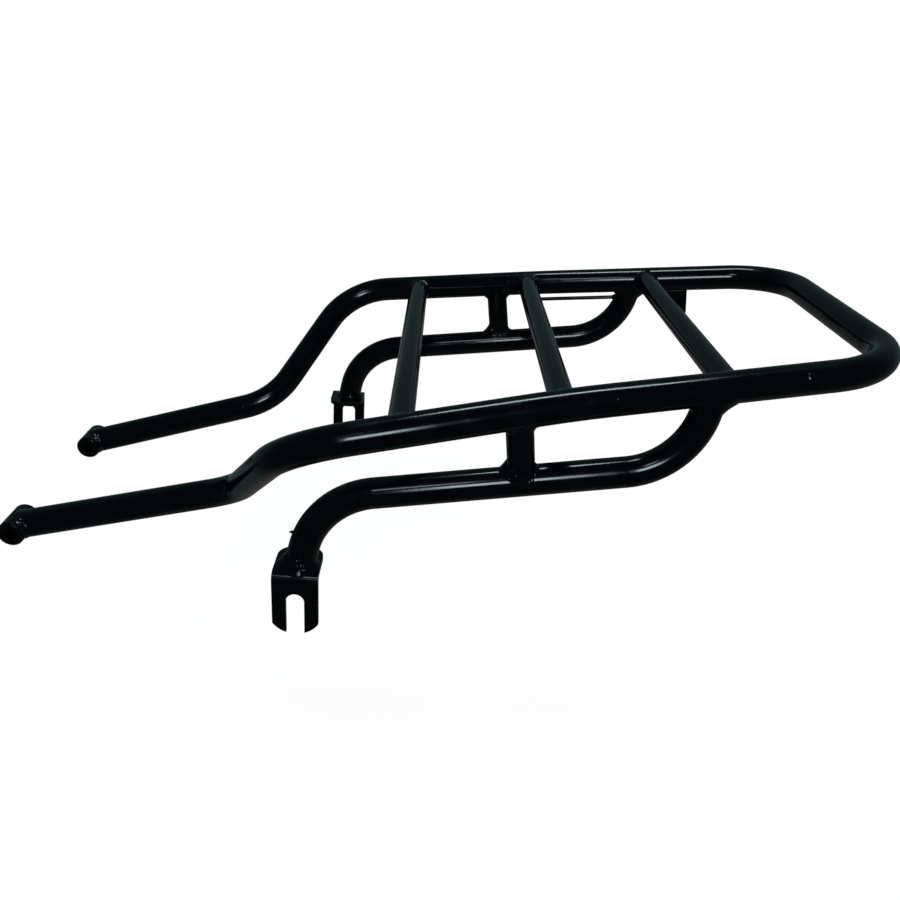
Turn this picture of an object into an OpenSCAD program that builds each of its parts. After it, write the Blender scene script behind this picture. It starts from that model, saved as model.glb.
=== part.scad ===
// Motorcycle luggage rack: a bent tube hoop with two front arms, three crossbars,
// two support stays on slotted brackets, short struts between rail and stay, and the
// weld beads that join them.
// X runs rearward along the deck, Y runs across it and Z is up. The origin is
// midway between the two front bushes, on the line of their bolts.

/* [Tubes] */
// Outside diameter of the hoop tube
hoop_d = 19; // [17:0.5:22]
// Wall of the hoop tube
hoop_wall = 1.5; // [1:0.25:2.5]
// Outside diameter of the two stay tubes
stay_d = 18.5; // [16:0.5:18.5]
// Wall of the stay tubes
stay_wall = 1.5; // [1:0.25:2.5]
// Outside diameter of the crossbars
crossbar_d = 15; // [12:0.5:17]
// Wall of the crossbars
crossbar_wall = 1.5; // [1:0.25:2]
// Outside diameter of the struts
strut_d = 16; // [12:0.5:17]
// Wall of the struts
strut_wall = 1.5; // [1:0.25:2]

/* [Front arms] */
// Distance between the two arms at the bushes
arm_span = 134; // [120:1:150]
// Length of the left arm, from the bush to its lower bend
left_arm_length = 153.5; // [140:0.5:160]
// Length of the right arm, from the bush to its lower bend
right_arm_length = 149; // [140:0.5:160]
// Rise of the arm between the bush and its lower bend
arm_rise = 20.5; // [14:0.5:26]
// Distance between the arms at the lower bends
arm_bend_span = 154.5; // [148:1:170]
// Radius of the left arm's lower bend, which is tighter and crushed on its inside
left_bend_r = 38; // [34:1:46]
// Radius of the right arm's lower bend
right_bend_r = 49; // [40:1:52]
// Depth of the crush on the inside of the left arm's lower bend
bend_dent = 2.6; // [1:0.2:3]
// How far past the middle of its bend the crush lies
dent_past = 3; // [0:0.5:5]

/* [Deck] */
// Height of the deck tubes' middle above the bush line
deck_height = 84.5; // [80:1:92]
// Place of the deck's front bends, behind the bush line
deck_front = 210.5; // [207:0.5:214]
// Length of the deck, from the front bends to the rear loop
deck_length = 352; // [345:1:380]
// Distance between the rails at the front bends
deck_front_span = 319.5; // [300:1:330]
// Place of the gentle bend in each rail, behind the front bends
rail_bend = 157.5; // [150:1:165]
// How much closer the rails are at their gentle bend than at the front bends
rail_bend_taper = 54.5; // [49.5:0.5:57.5]
// Height of the rail's gentle bend over the deck's ends
rail_arch = 2.5; // [1:0.5:5]
// How far the rail's gentle bend reaches to either side of its middle
rail_bend_reach = 21; // [18:1:24]
// How much closer the rails' lines are at the rear loop than at the gentle bend
rear_taper = 49; // [43:1:55]
// Radius of the deck's front bends
front_bend_r = 51; // [42:1:54]
// Radius of the rear loop's corners
corner_r = 50; // [40:1:56]

/* [Bushes] */
// Outside diameter of the front bushes
bush_d = 17.5; // [15:0.5:18.5]
// Length of each bush
bush_length = 27; // [22:0.5:32]
// Diameter of the bolt bore through a bush
bush_bore = 8.5; // [6.5:0.5:10.5]
// Chamfer on the ends of the bush
bush_chamfer = 1.2; // [0.6:0.2:1.6]

/* [Crossbars] */
// Place of the front crossbar, behind the deck's front bends
front_crossbar_x = 60; // [52:1:66]
// Place of the middle crossbar, behind the deck's front bends
middle_crossbar_x = 150.5; // [144:0.5:156]
// Place of the rear crossbar, behind the deck's front bends
rear_crossbar_x = 245.5; // [242:0.5:252]

/* [Stays and struts] */
// Drop from the deck's height to the front end of the stay's level run
stay_front_drop = 45; // [42:0.5:48]
// Drop from the deck's height to the rear end of the stay's level run
stay_rear_drop = 44.5; // [42:0.5:47]
// Place of the stay's front bend, behind the deck's front bends
stay_front_x = 5.5; // [2:0.5:9]
// Place of the stay's rear bend, behind the deck's front bends
stay_rear_x = 224.5; // [220:0.5:227]
// How far the stay's front bend lies inside the rail's front bend
stay_front_inset = 27.25; // [25.75:0.25:28.75]
// How far the stay's rear bend lies inside the rail's gentle bend
stay_rear_inset = 6.5; // [5.5:0.25:8]
// Radius of the stay's front bend
stay_front_r = 48; // [40:1:50]
// Radius of the stay's rear bend
stay_rear_r = 48; // [42:1:50]
// Place where the stay meets the rail, behind the deck's front bends
stay_top_x = 235; // [232:0.5:238]
// How far the stay's foot lies ahead of its front bend
stay_foot_back = 14.5; // [11:0.5:17]
// How far the stay's foot lies inside the bracket's outer face
stay_foot_inset = 12.5; // [11:0.5:14]
// Place of the struts, behind the deck's front bends
strut_x = 125.5; // [118:0.5:130]

/* [Brackets] */
// Thickness of the bracket's plate
bracket_t = 3; // [2:0.5:4]
// Width of the bracket
bracket_w = 27.5; // [26:0.5:30]
// Length of the slotted face, from the fold to its tip
bracket_leg = 42; // [38:0.5:48]
// Depth of the flange under the stay's foot
bracket_flange = 32; // [28:0.5:35]
// Inner radius of the fold
fold_r = 2.5; // [1.5:0.5:3]
// Distance between the outer faces of the two brackets
bracket_span = 297; // [295:0.5:300]
// Height of the bracket's fold against the bush line
bracket_z = -2; // [-5:0.5:0]
// Place of the bracket's middle, ahead of the deck's front bends
bracket_back = 10.5; // [9:0.5:12.5]
// Lean of the slotted face, in degrees
bracket_tilt = 8; // [4:0.5:10]
// Width of the slot
slot_w = 11; // [8.5:0.5:12.5]
// Distance from the fold to the closed end of the slot
slot_top = 13.5; // [11:0.5:16]
// Radius of the rounded tip of the face
tip_r = 16.5; // [15.5:0.5:20]
// Radius of the flange's two free corners
flange_corner_r = 10; // [5:0.5:12]

/* [Right side fittings] */
// Diameter of the strap wire
wire_d = 3; // [2.5:0.5:4]
// Drop of the strap wire below the middle of the rail
wire_drop = 14; // [13:0.5:16]
// Place of the strap wire's front leg, behind the deck's front bends
wire_front_x = 152.5; // [144:0.5:156]
// Bend radius of the strap wire
wire_bend_r = 4.5; // [3:0.5:5]
// Width of the side tab
tab_w = 20; // [16:0.5:24]
// Height of the side tab below the rail's underside
tab_h = 19; // [14:0.5:22]
// Thickness of the side tab
tab_t = 3; // [2:0.5:4]
// Place of the side tab's middle, behind the deck's front bends
tab_x = 270; // [267:0.5:276]

/* [Welds] */
// How far a weld bead stands out on the tubes it joins
weld_w = 1.8; // [1:0.2:1.8]

/* [Hidden] */
$fn = 48;
// Facets around a bend's tube
round_fn = 48;
// Facets of a full turn of a bend as wide as the rail's
wide_fn = 256;
// The side of the rack on which a left or right piece lies
left = -1;
right = 1;
black_paint = "#15191b";
// How far a cutting shape runs past what it cuts
over = 1;
// How far a bend reaches into the runs beside it, and how much thinner it is
bend_reach = 0.1;
bend_step = 0.02;
// How far a run's tapered end reaches into its bend, and how much it tapers
run_lap = 1;
run_taper = 0.2;
// The arm's end starts this far behind the bolt's middle, and is coped to the bush
arm_start = 2.5;
// How far the stay's line runs down past the bracket's top
stay_foot_extra = 6;
// Radius of the ball that shapes the flattened inside of the lower bend
dent_r = 14;

// Distances across the rack that follow from the ones above
rail_bend_span = deck_front_span - rail_bend_taper;
deck_rear_span = rail_bend_span - rear_taper;
stay_front_span = deck_front_span - 2 * stay_front_inset;
stay_rear_span = rail_bend_span - 2 * stay_rear_inset;
stay_foot_span = bracket_span - 2 * stay_foot_inset;

// The corners of the hoop's middle line on one side, from bush to rear loop
function bush_point(side) = [0, side * arm_span / 2, 0];
function arm_bend_point(side) = [side == left ? left_arm_length : right_arm_length,
    side * arm_bend_span / 2, arm_rise];
function deck_front_point(side) = [deck_front, side * deck_front_span / 2, deck_height];
function rail_bend_point(side) =
    [deck_front + rail_bend, side * rail_bend_span / 2, deck_height + rail_arch];
function loop_point(side) = [deck_front + deck_length, side * deck_rear_span / 2, deck_height];

// The point of the side rail's line at a place x behind the deck's front bends
function between(a, b, x) = a + (b - a) * (x - a[0]) / (b[0] - a[0]);
function rail_point(side, x) = x < rail_bend
    ? between(deck_front_point(side), rail_bend_point(side), deck_front + x)
    : between(rail_bend_point(side), loop_point(side), deck_front + x);

// The corners of the stay's middle line
function stay_foot_point(side) = [deck_front + stay_front_x - stay_foot_back,
    side * stay_foot_span / 2, bracket_z];
function stay_front_point(side) =
    [deck_front + stay_front_x, side * stay_front_span / 2, deck_height - stay_front_drop];
function stay_rear_point(side) =
    [deck_front + stay_rear_x, side * stay_rear_span / 2, deck_height - stay_rear_drop];
// Its line starts a little below the bracket's top, and is cut to the flange
function stay_start(side) = stay_foot_point(side)
    + unit(stay_foot_point(side) - stay_front_point(side)) * stay_foot_extra;
function stay_path(side) = [stay_start(side), stay_front_point(side),
    stay_rear_point(side), rail_point(side, stay_top_x)];
stay_radii = [stay_front_r, stay_rear_r];

// The point of the stay's level run at a place x behind the deck's front bends
function stay_point(side, x) =
    between(stay_front_point(side), stay_rear_point(side), deck_front + x);

// A direction, and the parts of one bend of a tube's middle line
function unit(v) = v / norm(v);
function turn(a, b) = acos(unit(a) * unit(b));
function set_back(a, b, r) = r * tan(turn(a, b) / 2);
function radius_for(a, b, back) = back / tan(turn(a, b) / 2);
function inward(a, b) = unit(unit(b) - unit(a) * (unit(a) * unit(b)));

// A piece with its own axes x, y and z carried to a point
module placed(x, y, z, point) {
    multmatrix([
        [x[0], y[0], z[0], point[0]],
        [x[1], y[1], z[1], point[1]],
        [x[2], y[2], z[2], point[2]],
        [0, 0, 0, 1]
    ])
        children();
}

// A round bar between two points
module bar(from, to, d) {
    z = unit(to - from);
    guide = abs(z[2]) < 0.9 ? [0, 0, 1] : [0, 1, 0];
    x = unit(cross(guide, z));
    placed(x, cross(z, x), z, from)
        cylinder(h = norm(to - from), d = d);
}

// One bend of a round bar, from direction a to direction b. It is a hair thinner than
// its runs and reaches a little into each, so no two surfaces just touch.
module bend(corner, a, b, r, d) {
    n = inward(a, b);
    start = corner - unit(a) * set_back(a, b, r);
    reach = bend_reach / r * 180 / PI;
    placed(-n, unit(a), cross(-n, unit(a)), start + n * r)
        rotate([0, 0, -reach])
            rotate_extrude(angle = turn(a, b) + 2 * reach, $fn = r < 10 * d ? $fn : wide_fn)
                translate([r, 0])
                    circle(d = d - 2 * bend_step, $fn = round_fn);
}

// A straight run of a bent bar, with ends that taper into the bends beside it
module run(from, to, d) {
    length = norm(to - from);
    slim = d / 2 - run_taper;
    z = unit(to - from);
    guide = abs(z[2]) < 0.9 ? [0, 0, 1] : [0, 1, 0];
    x = unit(cross(guide, z));
    placed(x, cross(z, x), z, from)
        rotate_extrude()
            polygon([[0, -run_lap], [slim, -run_lap], [d / 2, 0], [d / 2, length],
                [slim, length + run_lap], [0, length + run_lap]]);
}

// A round bar along a line of corners, each with its own bend radius
module bent_bar(path, radii, d) {
    last = len(path) - 1;
    line = [for (i = [0:last - 1]) path[i + 1] - path[i]];
    back = [0, for (i = [0:last - 2]) set_back(line[i], line[i + 1], radii[i]), 0];
    for (i = [0:last - 1])
        run(path[i] + unit(line[i]) * back[i], path[i + 1] - unit(line[i]) * back[i + 1], d);
    for (i = [1:last - 1])
        bend(path[i], line[i - 1], line[i], radii[i - 1], d);
}

// The corners and radii of the whole hoop, from the left bush to the right one
function hoop_start(side) =
    bush_point(side) + unit(arm_bend_point(side) - bush_point(side)) * arm_start;
hoop_path = [
    hoop_start(left), arm_bend_point(left), deck_front_point(left), rail_bend_point(left),
    loop_point(left), loop_point(right), rail_bend_point(right), deck_front_point(right),
    arm_bend_point(right), hoop_start(right)
];
rail_bend_r = radius_for(rail_bend_point(left) - deck_front_point(left),
    loop_point(left) - rail_bend_point(left), rail_bend_reach);
hoop_radii = [left_bend_r, front_bend_r, rail_bend_r, corner_r,
    corner_r, rail_bend_r, front_bend_r, right_bend_r];

// The same path run on past both ends, for the bore
function run_on(path, extra) = let (last = len(path) - 1) [
    path[0] + unit(path[0] - path[1]) * extra,
    for (i = [1:last - 1]) path[i],
    path[last] + unit(path[last] - path[last - 1]) * extra
];

// The ball that shapes the crush in the left arm's lower bend, or that keeps the bore
// one wall away from it
module dent(wall) {
    a = unit(arm_bend_point(left) - bush_point(left));
    b = unit(deck_front_point(left) - arm_bend_point(left));
    // Into the bend and along it, at the bend's middle
    into = unit(b - a);
    along = unit(b + a);
    centre = arm_bend_point(left) + into * left_bend_r / cos(turn(a, b) / 2);
    past = dent_past / left_bend_r * 180 / PI;
    to_centre = into * cos(past) - along * sin(past);
    translate(centre - to_centre * (left_bend_r - hoop_d / 2 + bend_dent - dent_r))
        sphere(r = dent_r + wall);
}

// The outsides that the other pieces are coped against, or that a weld bead lies on,
// some grown by a bead's width: the side rail ahead of its gentle bend, that bend, the
// rail behind it, an arm, a bush, the level run of a stay, and a whole stay
module front_rail(side, grow = 0) {
    bar(deck_front_point(side), rail_bend_point(side), hoop_d + 2 * grow);
}

module rail_bend(side, grow = 0) {
    bend(rail_bend_point(side), rail_bend_point(side) - deck_front_point(side),
        loop_point(side) - rail_bend_point(side), rail_bend_r, hoop_d + 2 * grow);
}

module rear_rail(side, grow = 0) {
    bar(rail_bend_point(side), loop_point(side), hoop_d + 2 * grow);
}

module arm(side) {
    run(hoop_start(side), arm_bend_point(side), hoop_d);
}

module bush_outside(side, grow = 0) {
    translate(bush_point(side))
        rotate([90, 0, 0])
            cylinder(h = bush_length, d = bush_d + 2 * grow, center = true);
}

module stay_run(side, grow = 0) {
    bar(stay_front_point(side), stay_rear_point(side), stay_d + 2 * grow);
}

module whole_stay(side, grow = 0) {
    bent_bar(stay_path(side), stay_radii, stay_d + 2 * grow);
}

module main_hoop() {
    color(black_paint)
        difference() {
            union()
                bent_bar(hoop_path, hoop_radii, hoop_d);
            difference() {
                union()
                    bent_bar(run_on(hoop_path, over), hoop_radii, hoop_d - 2 * hoop_wall);
                dent(hoop_wall);
            }
            dent(0);
            bush_outside(left);
            bush_outside(right);
        }
}

module bush(side) {
    half = [
        [bush_bore / 2, -bush_length / 2],
        [bush_d / 2 - bush_chamfer, -bush_length / 2],
        [bush_d / 2, -bush_length / 2 + bush_chamfer],
        [bush_d / 2, bush_length / 2 - bush_chamfer],
        [bush_d / 2 - bush_chamfer, bush_length / 2],
        [bush_bore / 2, bush_length / 2]
    ];
    color(black_paint)
        translate(bush_point(side))
            rotate([90, 0, 0])
                rotate_extrude()
                    polygon(half);
}

// The outside of a crossbar at a place x behind the deck's front bends
module crossbar(x, grow = 0) {
    bar(rail_point(left, x), rail_point(right, x), crossbar_d + 2 * grow);
}

// The outside of a strut
module strut_outside(side, grow = 0) {
    bar(stay_point(side, strut_x), rail_point(side, strut_x), strut_d + 2 * grow);
}

module front_crossbar() {
    color(black_paint)
        difference() {
            crossbar(front_crossbar_x);
            crossbar(front_crossbar_x, -crossbar_wall);
            front_rail(left);
            front_rail(right);
        }
}

module middle_crossbar() {
    color(black_paint)
        difference() {
            crossbar(middle_crossbar_x);
            crossbar(middle_crossbar_x, -crossbar_wall);
            rail_bend(left);
            rail_bend(right);
        }
}

module rear_crossbar() {
    color(black_paint)
        difference() {
            crossbar(rear_crossbar_x);
            crossbar(rear_crossbar_x, -crossbar_wall);
            rear_rail(left);
            rear_rail(right);
        }
}

module stay(side) {
    color(black_paint)
        difference() {
            union()
                whole_stay(side);
            bent_bar(run_on(stay_path(side), over), stay_radii, stay_d - 2 * stay_wall);
            rear_rail(side);
            below_flange(side);
        }
}

module strut(side) {
    color(black_paint)
        difference() {
            strut_outside(side);
            strut_outside(side, -strut_wall);
            front_rail(side);
            stay_run(side);
        }
}

// A bracket's own place: the outer top edge of its fold, at the middle of its width
module at_bracket(side) {
    mirror([0, side == left ? 0 : 1, 0])
        translate([deck_front - bracket_back, -bracket_span / 2, bracket_z])
            rotate([0, bracket_tilt, 0])
                children();
}

// Everything under the flange's upper face, which the stay's foot is cut to
module below_flange(side) {
    reach = 3 * stay_d;
    at_bracket(side)
        translate([-reach, -reach, -reach])
            cube([2 * reach, 3 * reach, reach]);
}

// The bracket's section: flange, fold and face, seen along the fold
module bracket_section() {
    outer_r = fold_r + bracket_t;
    translate([outer_r, -bracket_t])
        square([bracket_flange - outer_r, bracket_t]);
    translate([0, -bracket_leg])
        square([bracket_t, bracket_leg - outer_r]);
    intersection() {
        translate([outer_r, -outer_r])
            difference() {
                circle(r = outer_r);
                circle(r = fold_r);
            }
        translate([0, -outer_r])
            square([outer_r, outer_r]);
    }
}

// A round bar across the face's plate, for the slot's end and the face's tip
module through_face(z, r) {
    translate([0, -over, z])
        rotate([-90, 0, 0])
            cylinder(h = bracket_t + 2 * over, r = r);
}

// The folded plate before it is cut
module bracket_blank() {
    rotate([90, 0, 90])
        linear_extrude(bracket_w, center = true)
            bracket_section();
}

module bracket(side) {
    color(black_paint)
        at_bracket(side)
            difference() {
                bracket_blank();
                bracket_slot();
                bracket_tip();
                flange_end(left);
                flange_end(right);
            }
}

// What is cut from one of the flange's free corners to round it
module flange_end(end) {
    middle = [end * (bracket_w / 2 - flange_corner_r), bracket_flange - flange_corner_r];
    side = flange_corner_r + over;
    difference() {
        translate([middle[0] + (end == left ? -side : 0), middle[1], -bracket_t - over])
            cube([side, side, bracket_t + 2 * over]);
        translate([middle[0], middle[1], -bracket_t - 2 * over])
            cylinder(h = bracket_t + 4 * over, r = flange_corner_r);
    }
}

// The slot, open at the face's tip, with a half-round closed end
module bracket_slot() {
    end_z = -slot_top - slot_w / 2;
    through_face(end_z, slot_w / 2);
    translate([-slot_w / 2, -over, -bracket_leg - over])
        cube([slot_w, bracket_t + 2 * over, end_z + bracket_leg + over]);
}

// What is cut from the face's lower end to round its tip
module bracket_tip() {
    tip_z = -bracket_leg + tip_r;
    difference() {
        translate([-bracket_w, -over, -bracket_leg - over])
            cube([2 * bracket_w, bracket_t + 2 * over, tip_r + over]);
        translate([0, -over, 0])
            through_face(tip_z, tip_r);
        through_face(tip_z, tip_r);
    }
}

// The strap wire under the right rail, from beside the middle crossbar to the stay
module strap_wire() {
    top = rail_point(right, wire_front_x);
    drop = [0, 0, -wire_drop];
    rear = rail_point(right, stay_top_x - wire_d);
    color(black_paint)
        difference() {
            union()
                bent_bar([top, top + drop, rear + drop], [wire_bend_r], wire_d);
            rail_bend(right);
            whole_stay(right);
        }
}

// The side tab, upright under the right rail and in line with it
module side_tab() {
    middle = rail_point(right, tab_x);
    along = unit(loop_point(right) - rail_bend_point(right));
    across = unit(cross([0, 0, 1], along));
    color(black_paint)
        difference() {
            placed(along, across, cross(along, across), middle)
                translate([-tab_w / 2, -tab_t / 2, -hoop_d / 2 - tab_h])
                    cube([tab_w, tab_t, tab_h + hoop_d / 2]);
            rear_rail(right);
        }
}

// A bead lies where the grown outsides of two tubes meet, outside both of them. A bead's
// solid keeps to that, and the ripples of the real one are left out.
module bush_weld(side) {
    color(black_paint)
        difference() {
            intersection() {
                bar(bush_point(side), arm_bend_point(side), hoop_d + 2 * weld_w);
                bush_outside(side, weld_w);
            }
            arm(side);
            bush_outside(side);
        }
}

module front_bar_weld(side) {
    color(black_paint)
        difference() {
            intersection() {
                front_rail(side, weld_w);
                crossbar(front_crossbar_x, weld_w);
            }
            front_rail(side);
            crossbar(front_crossbar_x);
        }
}

module middle_bar_weld(side) {
    color(black_paint)
        difference() {
            intersection() {
                rail_bend(side, weld_w);
                crossbar(middle_crossbar_x, weld_w);
            }
            rail_bend(side);
            crossbar(middle_crossbar_x);
        }
}

module rear_bar_weld(side) {
    color(black_paint)
        difference() {
            intersection() {
                rear_rail(side, weld_w);
                crossbar(rear_crossbar_x, weld_w);
            }
            rear_rail(side);
            crossbar(rear_crossbar_x);
            whole_stay(side);
        }
}

module stay_weld(side) {
    color(black_paint)
        difference() {
            intersection() {
                rear_rail(side, weld_w);
                union()
                    whole_stay(side, weld_w);
            }
            rear_rail(side);
            whole_stay(side);
            crossbar(rear_crossbar_x, weld_w);
        }
}

module strut_top_weld(side) {
    color(black_paint)
        difference() {
            intersection() {
                front_rail(side, weld_w);
                strut_outside(side, weld_w);
            }
            front_rail(side);
            strut_outside(side);
        }
}

module strut_foot_weld(side) {
    color(black_paint)
        difference() {
            intersection() {
                stay_run(side, weld_w);
                strut_outside(side, weld_w);
            }
            stay_run(side);
            strut_outside(side);
        }
}

// The bead around a stay's foot, on the bracket's flange and fold
module foot_weld(side) {
    reach = 3 * stay_d;
    color(black_paint)
        difference() {
            intersection() {
                bar(stay_start(side), stay_front_point(side), stay_d + 2 * weld_w);
                at_bracket(side)
                    translate([-reach / 2, 0, -bracket_t / 2])
                        cube([reach, reach, bracket_t / 2 + weld_w]);
            }
            bar(stay_start(side), stay_front_point(side), stay_d);
            at_bracket(side)
                bracket_blank();
        }
}

main_hoop();
bush(left);  // left_bush
bush(right);  // right_bush
front_crossbar();
middle_crossbar();
rear_crossbar();
stay(left);  // left_stay
stay(right);  // right_stay
strut(left);  // left_strut
strut(right);  // right_strut
bracket(left);  // left_bracket
bracket(right);  // right_bracket
strap_wire();
side_tab();
bush_weld(left);  // left_bush_weld
bush_weld(right);  // right_bush_weld
front_bar_weld(left);  // front_bar_left_weld
front_bar_weld(right);  // front_bar_right_weld
middle_bar_weld(left);  // middle_bar_left_weld
middle_bar_weld(right);  // middle_bar_right_weld
rear_bar_weld(left);  // rear_bar_left_weld
rear_bar_weld(right);  // rear_bar_right_weld
stay_weld(left);  // left_stay_weld
stay_weld(right);  // right_stay_weld
foot_weld(left);  // left_foot_weld
foot_weld(right);  // right_foot_weld
strut_top_weld(left);  // left_strut_top_weld
strut_top_weld(right);  // right_strut_top_weld
strut_foot_weld(left);  // left_strut_foot_weld
strut_foot_weld(right);  // right_strut_foot_weld
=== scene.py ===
import math
import bpy
from mathutils import Matrix, Vector, noise


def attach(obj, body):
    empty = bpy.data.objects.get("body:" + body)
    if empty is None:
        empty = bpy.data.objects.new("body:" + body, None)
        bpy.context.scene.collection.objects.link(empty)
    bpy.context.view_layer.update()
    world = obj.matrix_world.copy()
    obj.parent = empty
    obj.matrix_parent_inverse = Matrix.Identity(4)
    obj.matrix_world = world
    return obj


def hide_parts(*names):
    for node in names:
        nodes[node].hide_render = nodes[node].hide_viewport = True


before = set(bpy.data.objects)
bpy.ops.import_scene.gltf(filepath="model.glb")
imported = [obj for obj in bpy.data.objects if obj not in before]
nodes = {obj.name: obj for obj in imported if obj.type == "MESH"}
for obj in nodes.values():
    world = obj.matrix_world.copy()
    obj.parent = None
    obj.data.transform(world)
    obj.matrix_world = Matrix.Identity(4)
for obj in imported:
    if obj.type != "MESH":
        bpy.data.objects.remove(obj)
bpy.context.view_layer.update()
MM = 0.001
LEFT, RIGHT = -1, 1
SIDE_NAMES = {LEFT: "left", RIGHT: "right"}

# Sizes that the beads follow, in millimetres, with the names that the part gives them
hoop_d, stay_d, crossbar_d, strut_d = 19, 18.5, 15, 16
arm_span, arm_bend_span, arm_rise = 134, 154.5, 20.5
arm_length = {LEFT: 153.5, RIGHT: 149}
deck_height, deck_front, deck_length, deck_front_span = 84.5, 210.5, 352, 319.5
rail_bend, rail_bend_taper, rail_arch, rear_taper = 157.5, 54.5, 2.5, 49
bush_d = 17.5
front_crossbar_x, middle_crossbar_x, rear_crossbar_x = 60, 150.5, 245.5
stay_front_drop, stay_rear_drop, stay_front_x, stay_rear_x = 45, 44.5, 5.5, 224.5
stay_front_inset, stay_rear_inset, stay_top_x, strut_x = 27.25, 6.5, 235, 125.5
stay_foot_back, stay_foot_inset = 14.5, 12.5
bracket_span, bracket_z, bracket_back, bracket_tilt = 297, -2, 10.5, 8
wire_drop, wire_front_x = 14, 152.5
tab_x, tab_w, tab_t = 270, 20, 3
rail_bend_span = deck_front_span - rail_bend_taper
deck_rear_span = rail_bend_span - rear_taper
stay_front_span = deck_front_span - 2 * stay_front_inset
stay_rear_span = rail_bend_span - 2 * stay_rear_inset


# Shader nodes, each added to a tree t


def value(node, name, number):
    node.inputs[name].default_value = number


def noise_node(t, coords, scale, detail):
    n = t.nodes.new("ShaderNodeTexNoise")
    value(n, "Scale", scale)
    value(n, "Detail", detail)
    t.links.new(coords, n.inputs["Vector"])
    return n.outputs["Fac"]


def spread(t, source, low, high, to_low, to_high):
    m = t.nodes.new("ShaderNodeMapRange")
    for name, number in (("From Min", low), ("From Max", high),
                         ("To Min", to_low), ("To Max", to_high)):
        value(m, name, number)
    t.links.new(source, m.inputs["Value"])
    return m.outputs["Result"]


def blend(t, factor, a, b):
    m = t.nodes.new("ShaderNodeMix")
    m.data_type = "RGBA"
    t.links.new(factor, m.inputs["Factor"])
    for socket, colour in ((m.inputs[6], a), (m.inputs[7], b)):
        if isinstance(colour, tuple):
            socket.default_value = colour
        else:
            t.links.new(colour, socket)
    return m.outputs[2]


def combine(t, operation, a, b):
    m = t.nodes.new("ShaderNodeMath")
    m.operation = operation
    for socket, number in ((m.inputs[0], a), (m.inputs[1], b)):
        if isinstance(number, (int, float)):
            socket.default_value = number
        else:
            t.links.new(number, socket)
    return m.outputs[0]


def bump(t, height, distance, below=None):
    b = t.nodes.new("ShaderNodeBump")
    value(b, "Strength", 1.0)
    value(b, "Distance", distance)
    t.links.new(height, b.inputs["Height"])
    if below:
        t.links.new(below, b.inputs["Normal"])
    return b.outputs["Normal"]


# Paint

PAINT_DARK, PAINT_PALE = (0.0003, 0.0009, 0.0017, 1), (0.0007, 0.0015, 0.0024, 1)
# The worn grey also paints a highlight along the plates' edges
DUST_GREY, WORN_AND_HIGHLIGHT_GREY = (0.016, 0.018, 0.019, 1), (0.012, 0.013, 0.014, 1)
SPECULAR_LEVEL, SPECULAR_TINT = 0.2, (0.82, 0.97, 1.0, 1)
TUBE_ROUGHNESS, BEAD_ROUGHNESS = 0.13, 0.16
ROUGH_LEAST, ROUGH_MOST = 0.75, 1.35

# Scale and detail of the noises, and the heights of the two that are bumps
PATCHES, GRIT = (55, 4), (1500, 2)
PEEL, RIPPLE = (520, 1), (45, 1)
PEEL_HEIGHT, RIPPLE_BUMP_HEIGHT = 0.01 * MM, 0.1 * MM

# Where in the patches' noise the colour, the gloss, the dust and the edges' wear and painted
# highlight change
COLOUR_TURN, GLOSS_TURN = (0.35, 0.65), (0.3, 0.7)
DUST_TURN, EDGE_WEAR_AND_HIGHLIGHT_TURN = (0.42, 0.62), (0.4, 0.6)

# Dust gathers where the grit's noise is high, and takes away gloss
DUST_GRIT, DUST_MOST, DUST_DULLS = (0.66, 0.72), 0.5, 0.3

# Crests are found by their pointiness, and edges by how far a rounded normal turns
CREST_POINTINESS, CREST_DULLS = (0.53, 0.60), 0.3
EDGE_ROUND, EDGE_SAMPLES, EDGE_COSINE = 0.6 * MM, 6, (0.995, 0.85)
# Along edges the paint turns lighter grey and duller: partly wear, partly a painted highlight
EDGE_WEAR_AND_HIGHLIGHT_LEAST, EDGE_DULLS = 0.2, 0.2


def edge_mask(t):
    """How near a place is to a sharp edge, and the normal of the edge's slight rounding."""
    rounded = t.nodes.new("ShaderNodeBevel")
    rounded.samples = EDGE_SAMPLES
    value(rounded, "Radius", EDGE_ROUND)
    turn = t.nodes.new("ShaderNodeVectorMath")
    turn.operation = "DOT_PRODUCT"
    t.links.new(rounded.outputs["Normal"], turn.inputs[0])
    t.links.new(t.nodes.new("ShaderNodeNewGeometry").outputs["Normal"], turn.inputs[1])
    return spread(t, turn.outputs["Value"], *EDGE_COSINE, 0, 1), rounded.outputs["Normal"]


def dusty(t, coords, patches, roughness):
    """The colour and the roughness of gloss paint with a little dust on it."""
    colour = blend(t, spread(t, patches, *COLOUR_TURN, 0, 1), PAINT_DARK, PAINT_PALE)
    grit = noise_node(t, coords, *GRIT)
    dust = combine(t, "MULTIPLY", spread(t, grit, *DUST_GRIT, 0, 1),
                   spread(t, patches, *DUST_TURN, 0, DUST_MOST))
    gloss = spread(t, patches, *GLOSS_TURN, roughness * ROUGH_LEAST, roughness * ROUGH_MOST)
    return (blend(t, dust, colour, DUST_GREY),
            combine(t, "ADD", gloss, combine(t, "MULTIPLY", dust, DUST_DULLS)))


def rubbed(t, rub, dulls, colour, rough):
    """A colour and a roughness turned grey and dull: rubbed paint, and on the plates' edges
    also a painted highlight.
    """
    return (blend(t, rub, colour, WORN_AND_HIGHLIGHT_GREY),
            combine(t, "ADD", rough, combine(t, "MULTIPLY", rub, dulls)))


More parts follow.
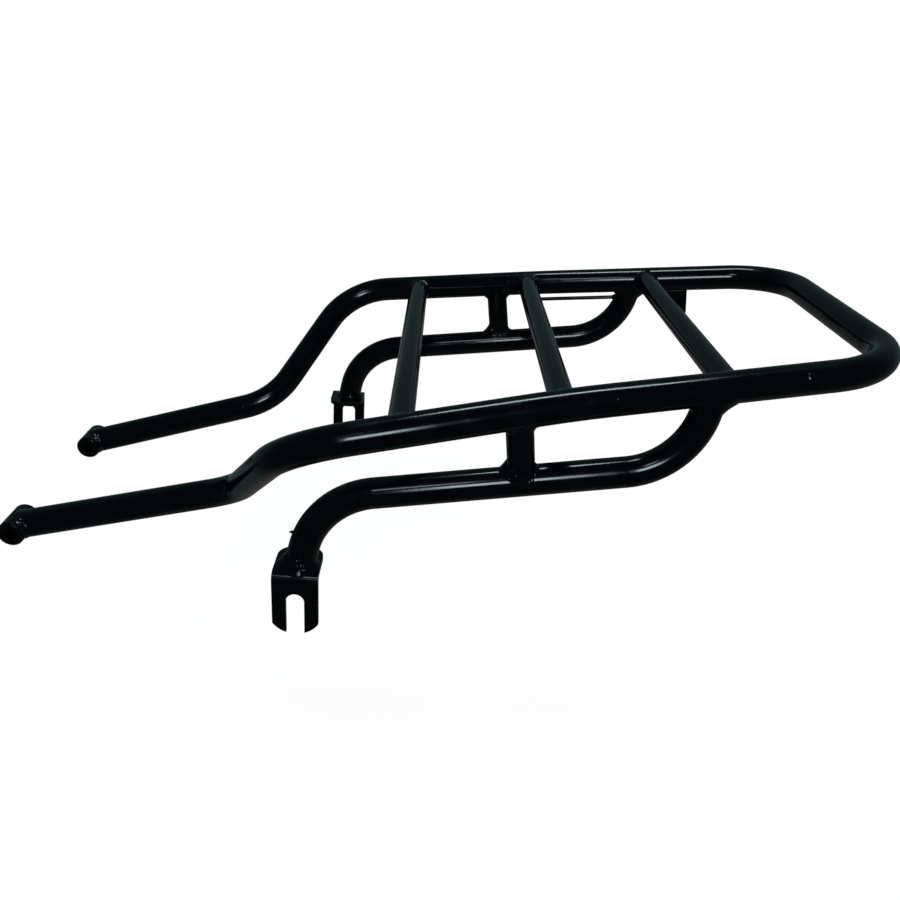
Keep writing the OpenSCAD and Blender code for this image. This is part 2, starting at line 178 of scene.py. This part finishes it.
def paint(name, roughness, crest_wear=0, edge_wear_and_highlight=0):
    """Gloss black paint with a slight orange peel, dust, worn crests, and edges made lighter
    as wear and as a painted highlight.
    """
    m = bpy.data.materials.new(name)
    m.use_nodes = True
    t = m.node_tree
    b = t.nodes["Principled BSDF"]
    coords = t.nodes.new("ShaderNodeTexCoord").outputs["Object"]
    patches = noise_node(t, coords, *PATCHES)
    colour, rough = dusty(t, coords, patches, roughness)
    normal = None
    if crest_wear:
        crest = t.nodes.new("ShaderNodeNewGeometry").outputs["Pointiness"]
        rub = spread(t, crest, *CREST_POINTINESS, 0, crest_wear)
        colour, rough = rubbed(t, rub, CREST_DULLS, colour, rough)
    if edge_wear_and_highlight:
        # Edges turn lighter grey, partly as rubbed paint and partly as a painted highlight
        near_edge, normal = edge_mask(t)
        wear_and_highlight = spread(t, patches, *EDGE_WEAR_AND_HIGHLIGHT_TURN, EDGE_WEAR_AND_HIGHLIGHT_LEAST, edge_wear_and_highlight)
        rub = combine(t, "MULTIPLY", near_edge, wear_and_highlight)
        colour, rough = rubbed(t, rub, EDGE_DULLS, colour, rough)
    normal = bump(t, noise_node(t, coords, *PEEL), PEEL_HEIGHT, normal)
    normal = bump(t, noise_node(t, coords, *RIPPLE), RIPPLE_BUMP_HEIGHT, normal)
    t.links.new(colour, b.inputs["Base Color"])
    t.links.new(rough, b.inputs["Roughness"])
    t.links.new(normal, b.inputs["Normal"])
    value(b, "Specular IOR Level", SPECULAR_LEVEL)
    value(b, "Specular Tint", SPECULAR_TINT)
    return m


PAINT = paint("black_paint", TUBE_ROUGHNESS)
# The plates' edges are made lighter, partly as wear and partly as a painted highlight
PLATE_PAINT = paint("plate_paint", TUBE_ROUGHNESS, edge_wear_and_highlight=0.8)
BEAD_PAINT = paint("bead_paint", BEAD_ROUGHNESS, crest_wear=0.5)
PLATES = ("left_bracket", "right_bracket", "side_tab", "left_bush", "right_bush")
for name, node in nodes.items():
    for holder in node.material_slots:
        holder.material = PLATE_PAINT if name in PLATES else PAINT


# The tubes' lines, in metres


def point(x, y, z):
    """A point given in millimetres."""
    return Vector((x, y, z)) * MM


def between(a, b, x):
    """The point of the line through a and b at a place x in millimetres."""
    return a + (b - a) * ((x * MM - a.x) / (b.x - a.x))


def bush_point(side):
    return point(0, side * arm_span / 2, 0)


def arm_bend_point(side):
    return point(arm_length[side], side * arm_bend_span / 2, arm_rise)


def deck_front_point(side):
    return point(deck_front, side * deck_front_span / 2, deck_height)


def rail_bend_point(side):
    return point(deck_front + rail_bend, side * rail_bend_span / 2, deck_height + rail_arch)


def loop_point(side):
    return point(deck_front + deck_length, side * deck_rear_span / 2, deck_height)


def rail(side, x):
    """The straight of the side rail that holds the place x, as two points."""
    if x < rail_bend:
        return deck_front_point(side), rail_bend_point(side)
    return rail_bend_point(side), loop_point(side)


def rail_point(side, x):
    a, b = rail(side, x)
    return between(a, b, deck_front + x)


def stay_front_point(side):
    return point(deck_front + stay_front_x, side * stay_front_span / 2,
                 deck_height - stay_front_drop)


def stay_rear_point(side):
    return point(deck_front + stay_rear_x, side * stay_rear_span / 2,
                 deck_height - stay_rear_drop)


def stay_foot_point(side):
    return point(deck_front + stay_front_x - stay_foot_back,
                 side * (bracket_span / 2 - stay_foot_inset), bracket_z)


def stay_point(side, x):
    return between(stay_front_point(side), stay_rear_point(side), deck_front + x)


# The curves that the weld beads follow

RINGS = 220
SUNK = 0.12 * MM


def tube(a, b, diameter):
    """A round tube as a point, its axis and its radius."""
    return a, (b - a).normalized(), diameter / 2 * MM


def circle(side, other, count):
    """Unit vectors all round, in the plane of two given ones."""
    for i in range(count):
        angle = 2 * math.pi * i / count
        yield side * math.cos(angle) + other * math.sin(angle)


def laid_on(spot, wall):
    """The point of a tube or a plate nearest to a spot, a hair under its surface."""
    if len(wall) == 2:
        middle, up = wall
        return spot - up * ((spot - middle).dot(up) + SUNK)
    middle, line, radius = wall
    foot = middle + line * (spot - middle).dot(line)
    return foot + (spot - foot).normalized() * (radius - SUNK)


def cope_curve(main, branch):
    """Points where a branch leaves a main tube, with both outward normals."""
    middle, line, main_radius = main
    joint, away, radius = branch
    side = away.cross(line).normalized()
    other = away.cross(side)
    climb = away - line * away.dot(line)
    a = climb.dot(climb)
    curve = []
    for out in circle(side, other, RINGS):
        start = joint + out * radius - middle
        across = start - line * start.dot(line)
        b = across.dot(climb)
        c = across.dot(across) - main_radius ** 2
        place = start + away * ((-b + math.sqrt(max(b * b - a * c, 0))) / a)
        normal = (place - line * place.dot(line)).normalized()
        curve.append((place + middle, normal, out))
    return curve


def plate_curve(plate, branch):
    """Points where a branch stands on a plate, with both outward normals."""
    on_plate, up = plate
    along, radius = branch[1:]
    side = along.cross(Vector((1, 0, 0))).normalized()
    other = along.cross(side)
    curve = []
    for out in circle(side, other, RINGS):
        start = on_plate + out * radius
        curve.append((start + along * ((on_plate - start).dot(up) / along.dot(up)), up, out))
    return curve


# Weld beads, in millimetres unless a name says otherwise

BEAD_LEG, FOOT_LEG = 2.6, 2.4
BEAD_STEPS = 16
BEAD_ROOT = 0.9
HOLLOW = 0.3

# Ripples across a bead, bowed, with a given pitch, height and sharpness
RIPPLE_PITCH, RIPPLE_HEIGHT, RIPPLE_BOW, RIPPLE_SHARPNESS = 2.1, 0.22, 0.45, 0.7

# Unevenness: the legs' share and its noise scale, and the grain's scale and drift
BEAD_UNEVEN, LEG_SCALE = 0.25, 140
FINE_GRAIN, PASS_GRAIN = (380, 2.5), (170, 3.5)

# A weld in several passes: how they wander, and the heights of ripples and passes
PASS_WANDER, PASS_SCALE = 0.8, 120
PASS_RIPPLE, PASS_HEIGHT = 0.35, 1.3


def add_mesh(name, points, faces, material):
    mesh = bpy.data.meshes.new(name)
    mesh.from_pydata(points, [], faces)
    mesh.materials.append(material)
    mesh.polygons.foreach_set("use_smooth", [True] * len(faces))
    mesh.update()
    piece = bpy.data.objects.new(name, mesh)
    bpy.context.collection.objects.link(piece)
    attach(piece, "root")
    return piece


def seed_of(name):
    """An offset into the noise that belongs to a piece's name."""
    return Vector((sum(ord(letter) for letter in name), 0, 0))


def swelling(place, lumps):
    """How far the lumps near a place lengthen a bead's two legs."""
    extra_a = extra_b = 0
    for centre, width, more_a, more_b in lumps:
        distance = (place - centre).length / (width * MM)
        fade = math.exp(-distance * distance)
        extra_a += more_a * fade
        extra_b += more_b * fade
    return extra_a, extra_b


def lift(place, out, s, travelled, leg, finish):
    """How far a weld stands out of its plain fillet, at a share s from toe to toe."""
    seed, rough, passes = finish
    crown = 4 * s * (1 - s)
    beat = abs(math.sin(math.pi * (travelled / RIPPLE_PITCH - RIPPLE_BOW * crown)))
    scale, drift = PASS_GRAIN if passes else FINE_GRAIN
    grain = rough * noise.noise(place * scale + seed + out * s * drift)
    if passes:
        layer = passes * s + PASS_WANDER * noise.noise(place * PASS_SCALE + seed)
        beat = PASS_RIPPLE * beat + PASS_HEIGHT * abs(math.sin(math.pi * layer))
    return (RIPPLE_HEIGHT * (beat ** RIPPLE_SHARPNESS - 0.5) + grain * leg) * crown ** 0.5


def ring_faces(rings, size):
    """Faces that join closed rings of points to each other, and the last to the first."""
    faces = []
    for i in range(rings):
        a = i * size
        b = (i + 1) % rings * size
        for k in range(size):
            n = (k + 1) % size
            faces.append((a + k, b + k, b + n, a + n))
    return faces


def bead(name, curve, wall_a, wall_b, base, lumps=(), rough=0.1, passes=0):
    """A rippled fillet weld along a closed curve, in one run or in several passes."""
    seed = seed_of(name)
    points = []
    travelled = 0
    for i, (place, up_a, up_b) in enumerate(curve):
        along_a = (up_b - up_a * up_b.dot(up_a)).normalized()
        along_b = (up_a - up_b * up_a.dot(up_b)).normalized()
        out = (along_a + along_b).normalized()
        leg = base * (1 + BEAD_UNEVEN * noise.noise(place * LEG_SCALE + seed))
        extra_a, extra_b = swelling(place, lumps)
        toe_a = laid_on(place + along_a * (leg + extra_a) * MM, wall_a)
        toe_b = laid_on(place + along_b * (leg + extra_b) * MM, wall_b)
        waist = (toe_a + toe_b) / 2
        waist += (place - waist) * HOLLOW
        for k in range(BEAD_STEPS):
            s = k / (BEAD_STEPS - 1)
            spot = toe_a * (1 - s) ** 2 + waist * 2 * s * (1 - s) + toe_b * s * s
            height = lift(place, out, s, travelled, leg, (seed, rough, passes))
            points.append(spot + out * height * MM)
        points.append(place - (up_a + up_b).normalized() * BEAD_ROOT * MM)
        travelled += (curve[(i + 1) % RINGS][0] - place).length / MM
    return add_mesh(name, points, ring_faces(RINGS, BEAD_STEPS + 1), BEAD_PAINT)


def cope_bead(name, node, main, branch, lumps=(), rough=0.1):
    """A bead where a branch leaves a main tube, in place of a node's plain one."""
    piece = bead(name, cope_curve(main, branch), main, branch, BEAD_LEG, lumps, rough)
    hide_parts(node)


def bush_bead(side, hand):
    bush = tube(bush_point(side), bush_point(side) + Vector((0, 1, 0)), bush_d)
    arm = tube(bush_point(side), arm_bend_point(side), hoop_d)
    cope_bead(hand + "_bush_bead", hand + "_bush_weld", bush, arm, rough=0.2)


def crossbar_beads(side, hand):
    for label, x in (("front", front_crossbar_x), ("middle", middle_crossbar_x),
                     ("rear", rear_crossbar_x)):
        crossbar = tube(rail_point(side, x), rail_point(-side, x), crossbar_d)
        cope_bead(label + "_bar_" + hand + "_bead", label + "_bar_" + hand + "_weld",
                  tube(*rail(side, x), hoop_d), crossbar)


def strut_beads(side, hand):
    """The strut's beads on the rail and on the stay, the lower one with a front lump."""
    top = rail_point(side, strut_x)
    foot = stay_point(side, strut_x)
    cope_bead(hand + "_strut_top_bead", hand + "_strut_top_weld",
              tube(*rail(side, strut_x), hoop_d), tube(top, foot, strut_d))
    lump = foot + Vector((-strut_d / 2, 0, stay_d / 2)) * MM
    cope_bead(hand + "_strut_foot_bead", hand + "_strut_foot_weld",
              tube(stay_front_point(side), stay_rear_point(side), stay_d),
              tube(foot, top, strut_d), [(lump, *STRUT_LUMP)], rough=0.3)


def stay_bead(side, hand):
    """The stay's bead under the rail, with a lump behind."""
    top = rail_point(side, stay_top_x)
    lump = top + Vector((stay_d / 2, 0, -hoop_d / 2)) * MM
    cope_bead(hand + "_stay_bead", hand + "_stay_weld",
              tube(*rail(side, stay_top_x), hoop_d),
              tube(top, stay_rear_point(side), stay_d), [(lump, *STAY_LUMP)])


def foot_bead(side, hand):
    """The stay's bead on its bracket. The near one has lumps and was laid in passes."""
    tilt = math.radians(bracket_tilt)
    up = Vector((math.sin(tilt), 0, math.cos(tilt)))
    corner = point(deck_front - bracket_back, side * bracket_span / 2, bracket_z)
    stay = tube(stay_foot_point(side), stay_front_point(side), stay_d)
    on_plate = stay[0] + stay[1] * ((corner - stay[0]).dot(up) / stay[1].dot(up))
    outer = on_plate + Vector((-stay_d / 2, 0, 0)) * MM
    before = on_plate + Vector((2, side * stay_d / 2, 0)) * MM
    near = side == LEFT
    lumps = [(outer, *OUTER_FOOT_LUMP), (before, *SIDE_FOOT_LUMP)] if near else ()
    piece = bead(hand + "_foot_bead", plate_curve((on_plate, up), stay), (on_plate, up), stay,
                 FOOT_LEG, lumps, rough=0.15, passes=FOOT_PASSES if near else 0)
    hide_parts(hand + "_foot_weld")


# Lumps on beads, as a width and how far each leg grows
STRUT_LUMP, STAY_LUMP = (7, 3, 4), (9, 6, 4)
OUTER_FOOT_LUMP, SIDE_FOOT_LUMP = (10, 3, 8), (9, 1, 5)
FOOT_PASSES = 3

for side in (LEFT, RIGHT):
    for lay_beads in (bush_bead, crossbar_beads, strut_beads, stay_bead, foot_bead):
        lay_beads(side, SIDE_NAMES[side])


# Small welds and paint faults, in millimetres

AROUND = 24
DOME_RINGS = 12
LUMP_UNEVEN = 0.1

# The unevenness changes this fast around a lump and along it
LUMP_TURN, LUMP_CLIMB = 0.7, 0.6

# A weld run's rings per millimetre, how far its ends reach out, the radius of its first
# ring, and its thinnest share and ripple
RUN_RINGS, RUN_END, RUN_TIP = 3, 0.2, 0.3
RUN_THINNEST, RUN_RIPPLE = 0.94, 0.12


def turned(name, centre, axis, profile, material):
    """A small uneven lump, round about an axis, from its radii and heights."""
    axis = axis.normalized()
    side = axis.orthogonal().normalized()
    other = axis.cross(side)
    seed = seed_of(name)
    points = []
    for radius, height in profile[:-1]:
        for out in circle(side, other, AROUND):
            spot = out * LUMP_TURN + axis * height * LUMP_CLIMB + seed
            wave = 1 + LUMP_UNEVEN * noise.noise(spot)
            points.append(centre + (axis * height + out * radius * wave) * MM)
    tip = len(points)
    points.append(centre + axis * profile[-1][1] * MM)
    faces = [tuple(range(AROUND))[::-1]]
    for ring in range(0, tip, AROUND):
        for i in range(AROUND):
            n = (i + 1) % AROUND
            if ring + AROUND == tip:
                faces.append((ring + i, ring + n, tip))
            else:
                faces.append((ring + i, ring + n, ring + AROUND + n, ring + AROUND + i))
    return add_mesh(name, points, faces, material)


def dome(length, radius, taper):
    """The profile of a round lump that narrows towards its tip."""
    turns = [math.pi / 2 * i / DOME_RINGS for i in range(DOME_RINGS + 1)]
    return [(radius * math.cos(a) * (1 - taper * math.sin(a)), length * math.sin(a))
            for a in turns]


def weld_run(length, radius):
    """The profile of a short rippled weld run."""
    profile = [(RUN_TIP, -RUN_END)]
    count = round(length * RUN_RINGS)
    for i in range(1, count):
        s = i / count
        beat = abs(math.sin(math.pi * length * s / RIPPLE_PITCH))
        swell = math.sqrt(1 - (2 * s - 1) ** 4)
        profile.append((radius * swell * (RUN_THINNEST + RUN_RIPPLE * beat), length * s))
    return profile + [(0, length + RUN_END)]


# The tab is welded to the rail along both of its faces, a little short of its ends
TAB_BEAD_RADIUS, TAB_BEAD_SHORT = 2.0, 1
TAB_BEAD_OUT, TAB_BEAD_UNDER = 0.5, 0.2
rail_start, rail_end = rail(RIGHT, tab_x)
along = (rail_end - rail_start).normalized()
across = Vector((0, 0, 1)).cross(along).normalized()
under = across.cross(along)
for label, face in (("out", 1), ("in", -1)):
    start = rail_point(RIGHT, tab_x) + (across * face * (tab_t / 2 + TAB_BEAD_OUT)
                                        + under * (hoop_d / 2 + TAB_BEAD_UNDER)
                                        - along * (tab_w / 2 - TAB_BEAD_SHORT)) * MM
    turned("tab_bead_" + label, start, along,
           weld_run(tab_w - 2 * TAB_BEAD_SHORT, TAB_BEAD_RADIUS), BEAD_PAINT)

# The wire is tacked to the rail's underside and to the stay
WIRE_END_X = 223
TACK_SUNK = 0.8
drop = Vector((0, 0, -wire_drop)) * MM
wire_front = rail_point(RIGHT, wire_front_x)
wire_line = (wire_front + drop, rail_point(RIGHT, stay_top_x) + drop)
turned("wire_front_tack", wire_front - Vector((0, 0, hoop_d / 2 - TACK_SUNK)) * MM,
       Vector((0, 0, -1)), dome(length=3.4, radius=3.0, taper=0.3), BEAD_PAINT)
turned("wire_rear_tack", between(*wire_line, deck_front + WIRE_END_X),
       wire_line[0] - wire_line[1], dome(length=4.2, radius=2.8, taper=0.3), BEAD_PAINT)

# Short passes laid over the weld at the near stay's foot, as start, length and radius
PASS_LINE = Vector((1, 0.03, 0.04))
SHORT_PASSES = {"low": ((199.5, -146.9, -0.4), 8, 1.4),
                "middle": ((198.5, -145.7, 2.2), 9, 1.8),
                "high": ((200.5, -144.7, 5.2), 5, 1.4)}
for label, (start, length, radius) in SHORT_PASSES.items():
    turned("left_foot_pass_" + label, point(*start), PASS_LINE, weld_run(length, radius),
           BEAD_PAINT)

# A burr on the near stay and a blister in the rail's paint, as place and direction
STAY_BURR = point(201.2, -136.2, 19.9), Vector((-0.96, -0.1, 0.2))
RAIL_BLISTER = point(499.0, -124.2, 89.6), Vector((-0.14, -0.86, 0.48))
turned("stay_burr", *STAY_BURR, dome(length=3.0, radius=1.2, taper=0.4), PAINT)
turned("rail_blister", *RAIL_BLISTER, dome(length=1.1, radius=2.6, taper=0), PAINT)


# Paper floor

FLOOR_Z = -0.30
FLOOR_FRONT, FLOOR_BACK = -0.22, 3.0
FLOOR_LEFT, FLOOR_RIGHT = -0.03, 1.1

# The share of white that is left of the paper in gloss, and of the backdrop for all
# rays but the camera's
GLOSS_SHARE = 0.1

# The paper's glow and the distances between which it rises to full white
GLOW_NEAR, GLOW_FROM, GLOW_TO = 0.87, 0.5, 2.2

# Greys of the paper: lit for the camera, dimmed in gloss, and for diffuse rays
SEEN_GREY, GLOSS_GREY, BOUNCE_GREY = 0.25, 0.03, 0.8


def mixed(t, factor, a, b):
    mix = t.nodes.new("ShaderNodeMixShader")
    t.links.new(factor, mix.inputs[0])
    t.links.new(a.outputs[0], mix.inputs[1])
    t.links.new(b.outputs[0], mix.inputs[2])
    return mix


def matt(t, grey):
    plain = t.nodes.new("ShaderNodeBsdfDiffuse")
    value(plain, "Color", (grey, grey, grey, 1))
    return plain


def glowing_paper(t):
    """Paper that glows almost white and still takes a soft shadow."""
    away = t.nodes.new("ShaderNodeVectorMath")
    away.operation = "LENGTH"
    t.links.new(t.nodes.new("ShaderNodeTexCoord").outputs["Object"], away.inputs[0])
    glow = t.nodes.new("ShaderNodeEmission")
    t.links.new(spread(t, away.outputs["Value"], GLOW_FROM, GLOW_TO, GLOW_NEAR, 1.0),
                glow.inputs["Strength"])
    lit = t.nodes.new("ShaderNodeAddShader")
    t.links.new(matt(t, SEEN_GREY).outputs[0], lit.inputs[0])
    t.links.new(glow.outputs[0], lit.inputs[1])
    return lit


def stage_material(name):
    """Paper that is white to the camera, dim in gloss and plain to diffuse rays."""
    m = bpy.data.materials.new(name)
    m.use_nodes = True
    t = m.node_tree
    t.nodes.clear()
    out = t.nodes.new("ShaderNodeOutputMaterial")
    path = t.nodes.new("ShaderNodeLightPath")
    seen = combine(t, "MAXIMUM", path.outputs["Is Camera Ray"], path.outputs["Is Glossy Ray"])
    seen = combine(t, "MAXIMUM", seen, path.outputs["Is Transmission Ray"])
    dimmed = spread(t, path.outputs["Is Glossy Ray"], 0, 1, 0, 1 - GLOSS_SHARE)
    shown = mixed(t, dimmed, glowing_paper(t), matt(t, GLOSS_GREY))
    t.links.new(mixed(t, seen, matt(t, BOUNCE_GREY), shown).outputs[0], out.inputs["Surface"])
    return m


paper = bpy.data.meshes.new("floor")
paper.from_pydata([(FLOOR_LEFT, FLOOR_FRONT, 0), (FLOOR_RIGHT, FLOOR_FRONT, 0),
                   (FLOOR_RIGHT, FLOOR_BACK, 0), (FLOOR_LEFT, FLOOR_BACK, 0)], [],
                  [(0, 1, 2, 3)])
paper.materials.append(stage_material("floor_white"))
floor = bpy.data.objects.new("floor", paper)
floor.location = (0, 0, FLOOR_Z)
bpy.context.collection.objects.link(floor)


# Room and lamps

# The backdrop's upper edge and its side, and where the room changes, as parts of a direction
BACKDROP_TOP, BACKDROP_SIDE, ROOM_TURN = (0.04, 0.14), (0.82, 0.96), (-0.2, 0.6)
ROOM_FRONT, ROOM_BACK = (0.05, 0.055, 0.06, 1), (0.075, 0.115, 0.115, 1)
WHITE = (1, 1, 1, 1)


def studio(name):
    """White to the camera, and else a dim room with a faint backdrop low behind."""
    world = bpy.data.worlds.new(name)
    world.use_nodes = True
    t = world.node_tree
    ways = t.nodes.new("ShaderNodeSeparateXYZ")
    t.links.new(t.nodes.new("ShaderNodeTexCoord").outputs["Generated"], ways.inputs[0])
    low = spread(t, ways.outputs["Z"], *BACKDROP_TOP, 1, 0)
    behind = spread(t, ways.outputs["Y"], *BACKDROP_SIDE, 0, 1)
    room = blend(t, spread(t, ways.outputs["Y"], *ROOM_TURN, 0, 1), ROOM_FRONT, ROOM_BACK)
    faint = combine(t, "MULTIPLY", combine(t, "MULTIPLY", low, behind), GLOSS_SHARE)
    path = t.nodes.new("ShaderNodeLightPath")
    white = combine(t, "MAXIMUM", faint, path.outputs["Is Camera Ray"])
    t.links.new(blend(t, white, room, WHITE), t.nodes["Background"].inputs["Color"])
    value(t.nodes["Background"], "Strength", 1.0)
    return world


def lamp(name, place, aim, size, radiance, colour):
    """A soft box of a given size, as bright as its radiance, that the camera can't see."""
    light = bpy.data.lights.new(name, "AREA")
    light.shape = "RECTANGLE"
    light.size, light.size_y = size
    light.energy = radiance * math.pi * size[0] * size[1]
    light.color = colour
    box = bpy.data.objects.new(name, light)
    bpy.context.collection.objects.link(box)
    box.location = place
    box.rotation_euler = (Vector(aim) - Vector(place)).to_track_quat("-Z", "Y").to_euler()
    box.visible_camera = False


# Each lamp's name, place, aim, size, radiance and colour
DECK_MIDDLE, DECK_REAR = (0.3, 0.0, 0.05), (0.5, 0.0, 0.08)
LAMPS = (
    ("overhead_strip", (0.75, 0.45, 2.05), DECK_REAR, (0.95, 0.22), 30, (0.94, 1, 1)),
    ("window", (0.46, -1.75, 0.80), DECK_MIDDLE, (0.42, 0.45), 26, (1, 1, 1)),
    ("front_box", (0.22, -1.5, 1.5), DECK_MIDDLE, (0.3, 0.2), 16, (1, 0.97, 0.92)),
)
bpy.context.scene.world = studio("studio")
for row in LAMPS:
    lamp(*row)


# Camera from the fit of the tubes' edges in the photograph

FRAME_PX = 900
FOCAL_PX = 861.94
CENTRE_RIGHT_PX, CENTRE_UP_PX = 10.82, 4.56
SENSOR_MM = 36
NEAR_LIMIT = 0.01
CAMERA_PLACE = (0.313559, -0.572638, 0.272536)
CAMERA_RIGHT = (0.99738322, -0.00859217, -0.07178368)
CAMERA_FORWARD = (-0.02268748, 0.90555706, -0.42361738)


def photo_camera(name):
    data = bpy.data.cameras.new(name)
    data.sensor_width = SENSOR_MM
    data.lens = FOCAL_PX / FRAME_PX * SENSOR_MM
    data.shift_x = -CENTRE_RIGHT_PX / FRAME_PX
    data.shift_y = -CENTRE_UP_PX / FRAME_PX
    data.clip_start = NEAR_LIMIT
    camera = bpy.data.objects.new(name, data)
    bpy.context.collection.objects.link(camera)
    right = Vector(CAMERA_RIGHT).normalized()
    forward = Vector(CAMERA_FORWARD).normalized()
    up = right.cross(forward).normalized()
    place = Vector(CAMERA_PLACE)
    camera.matrix_world = Matrix((
        (right.x, up.x, -forward.x, place.x),
        (right.y, up.y, -forward.y, place.y),
        (right.z, up.z, -forward.z, place.z),
        (0, 0, 0, 1)))
    return camera


bpy.context.scene.camera = photo_camera("camera")
bpy.context.scene.view_settings.view_transform = "Standard"
